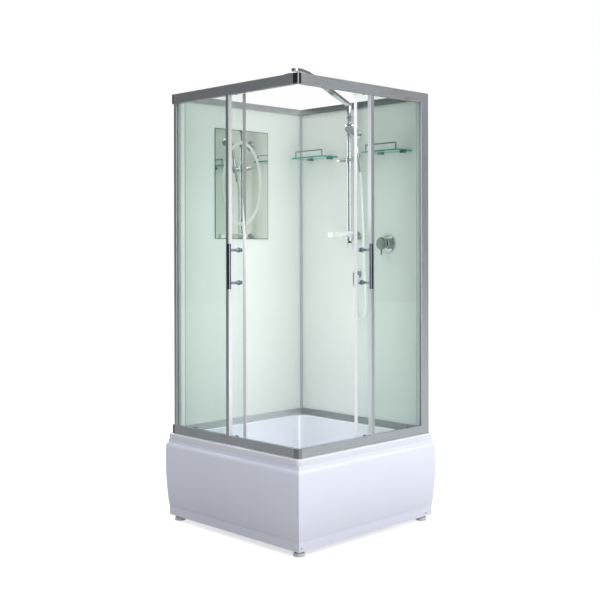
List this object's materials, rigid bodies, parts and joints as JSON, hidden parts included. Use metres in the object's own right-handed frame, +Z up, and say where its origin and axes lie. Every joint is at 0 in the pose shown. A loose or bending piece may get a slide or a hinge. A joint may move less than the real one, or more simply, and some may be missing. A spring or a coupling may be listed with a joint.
{
  "type": "corner shower cabin",
  "caption": "Corner-entry shower cabin with a deep tub, sliding glass doors, solid rear walls, riser rail with handset and hose, overhead head, mixer, mirror and shelves.",
  "frame": {"origin": "on the floor under the middle foot", "axes": "+Z up; the doors face -Y and +X, the solid walls stand at -X and +Y"},
  "size_m": [0.9015, 0.9145, 2.128],
  "materials": {
    "tub_white": "gloss moulded acrylic",
    "apron_white": "satin moulded acrylic",
    "satin_aluminium": "satin anodised",
    "chrome": "polished",
    "steel": "zinc coated",
    "dark_rubber": "matte",
    "clear_glass": "clear toughened",
    "clear_plastic": "clear",
    "shelf_glass": "clear with green edges",
    "pale_green_wall": "back-painted",
    "mirror": "polished",
    "white_hose": "smooth",
    "nylon": "smooth",
    "copper": "plain pipe"
  },
  "bodies": {
    "root": {"tub": "tub_white", "apron_left": "apron_white", "apron_right": "apron_white", "apron_screws": "chrome", "apron_brackets": "steel", "tray_frame": "steel", "foot_pads": "dark_rubber", "foot_studs": "steel", "waste_cover": "chrome", "waste_trap": "nylon", "rail_top_left": "satin_aluminium", "rail_top_right": "satin_aluminium", "rail_bottom_left": "satin_aluminium", "rail_bottom_right": "satin_aluminium", "corner_connectors": "chrome", "end_caps": "chrome", "wall_channel": "satin_aluminium", "wall_post": "satin_aluminium", "back_corner": "satin_aluminium", "back_rails_left": "satin_aluminium", "back_rails_right": "satin_aluminium", "wall_panel_left": "pale_green_wall", "wall_panel_right": "pale_green_wall", "pane_left": "clear_glass", "pane_right": "clear_glass", "pane_stiles": "satin_aluminium", "mirror": "mirror", "shelf_glasses": "shelf_glass", "shelf_fittings": "chrome", "riser": "chrome", "riser_base": "chrome", "riser_fixings": "chrome", "soap_dish": "clear_plastic", "hose": "white_hose", "hose_outlet": "chrome", "mixer_plate": "chrome", "mixer_valve": "steel", "supply_line": "copper"},
    "left_door": {"left_door_glass": "clear_glass", "left_door_seal": "clear_plastic", "left_door_rollers": "chrome", "left_door_handle": "chrome"},
    "right_door": {"right_door_glass": "clear_glass", "right_door_seal": "clear_plastic", "right_door_rollers": "chrome", "right_door_handle": "chrome"},
    "left_wheel_a": {"left_wheel_front": "nylon"},
    "left_wheel_b": {"left_wheel_rear": "nylon"},
    "right_wheel_a": {"right_wheel_front": "nylon"},
    "right_wheel_b": {"right_wheel_rear": "nylon"},
    "diverter": {"diverter_knob": "chrome"},
    "hand_slider": {"slider": "chrome"},
    "slider_clamp": {"clamp_knob": "chrome"},
    "holder": {"hand_holder": "chrome"},
    "hand_shower": {"handset": "chrome"},
    "overhead_arm": {"rain_arm": "chrome"},
    "overhead_joint": {"head_ball": "chrome"},
    "overhead_head": {"rain_head": "chrome"},
    "mixer_turn": {"mixer_spindle": "chrome"},
    "mixer_tilt": {"mixer_lever": "chrome"}
  },
  "joints": [
    {"name": "left_door_slide", "type": "slide", "parent": "root", "child": "left_door", "axis": [1, 0, 0], "range_m": [0, 0.3308]},
    {"name": "right_door_slide", "type": "slide", "parent": "root", "child": "right_door", "axis": [0, -1, 0], "range_m": [0, 0.3428]},
    {"name": "left_wheel_a_spin", "type": "hinge", "parent": "left_door", "child": "left_wheel_a", "pos_m": [0, -0.4051, 1.9778], "axis": [0, 1, 0], "range_deg": [0, 1998]},
    {"name": "right_wheel_a_spin", "type": "hinge", "parent": "right_door", "child": "right_wheel_a", "pos_m": [0.4051, 0.012, 1.9778], "axis": [1, 0, 0], "range_deg": [0, 2070]},
    {"name": "left_wheel_b_spin", "type": "hinge", "parent": "left_door", "child": "left_wheel_b", "pos_m": [-0.295, -0.4051, 1.9778], "axis": [0, 1, 0], "range_deg": [0, 1998]},
    {"name": "right_wheel_b_spin", "type": "hinge", "parent": "right_door", "child": "right_wheel_b", "pos_m": [0.4051, 0.307, 1.9778], "axis": [1, 0, 0], "range_deg": [0, 2070]},
    {"name": "diverter_turn", "type": "hinge", "parent": "root", "child": "diverter", "pos_m": [0, 0.345, 1.302], "axis": [0, 0, 1], "range_deg": [-90, 90]},
    {"name": "slider_travel", "type": "slide", "parent": "root", "child": "hand_slider", "axis": [0, 0, 1], "range_m": [-0.3, 0.08], "deforming": ["hose"]},
    {"name": "clamp_knob_turn", "type": "hinge", "parent": "hand_slider", "child": "slider_clamp", "pos_m": [-0.05, 0.345, 1.719], "axis": [1, 0, 0], "range_deg": [0, 180]},
    {"name": "holder_tilt", "type": "hinge", "parent": "hand_slider", "child": "holder", "pos_m": [0.04, 0.345, 1.719], "axis": [1, 0, 0], "range_deg": [-15, 25]},
    {"name": "handset_lift", "type": "slide", "parent": "holder", "child": "hand_shower", "axis": [0, -0.1908, 0.9816], "range_m": [0, 0.03]},
    {"name": "arm_swivel", "type": "hinge", "parent": "root", "child": "overhead_arm", "pos_m": [0, 0.345, 1.966], "axis": [0, 0, 1], "range_deg": [-60, 60]},
    {"name": "head_nod", "type": "hinge", "parent": "overhead_arm", "child": "overhead_joint", "pos_m": [0, -0.012, 2.103], "axis": [1, 0, 0], "range_deg": [-15, 3]},
    {"name": "head_roll", "type": "hinge", "parent": "overhead_joint", "child": "overhead_head", "pos_m": [0, -0.012, 2.103], "axis": [0, 1, 0], "range_deg": [-8, 8]},
    {"name": "mixer_turn_joint", "type": "hinge", "parent": "root", "child": "mixer_turn", "pos_m": [0.202, 0.372, 1.304], "axis": [0, 1, 0], "range_deg": [-45, 45]},
    {"name": "mixer_lift", "type": "hinge", "parent": "mixer_turn", "child": "mixer_tilt", "pos_m": [0.202, 0.364, 1.304], "axis": [-1, 0, 0], "range_deg": [0, 12]}
  ],
  "couplings": [
    {"joint": "left_wheel_a_spin", "follows": "left_door_slide", "rad_per_m": 105.26},
    {"joint": "right_wheel_a_spin", "follows": "right_door_slide", "rad_per_m": 105.26},
    {"joint": "left_wheel_b_spin", "follows": "left_door_slide", "rad_per_m": 105.26},
    {"joint": "right_wheel_b_spin", "follows": "right_door_slide", "rad_per_m": 105.26}
  ]
}
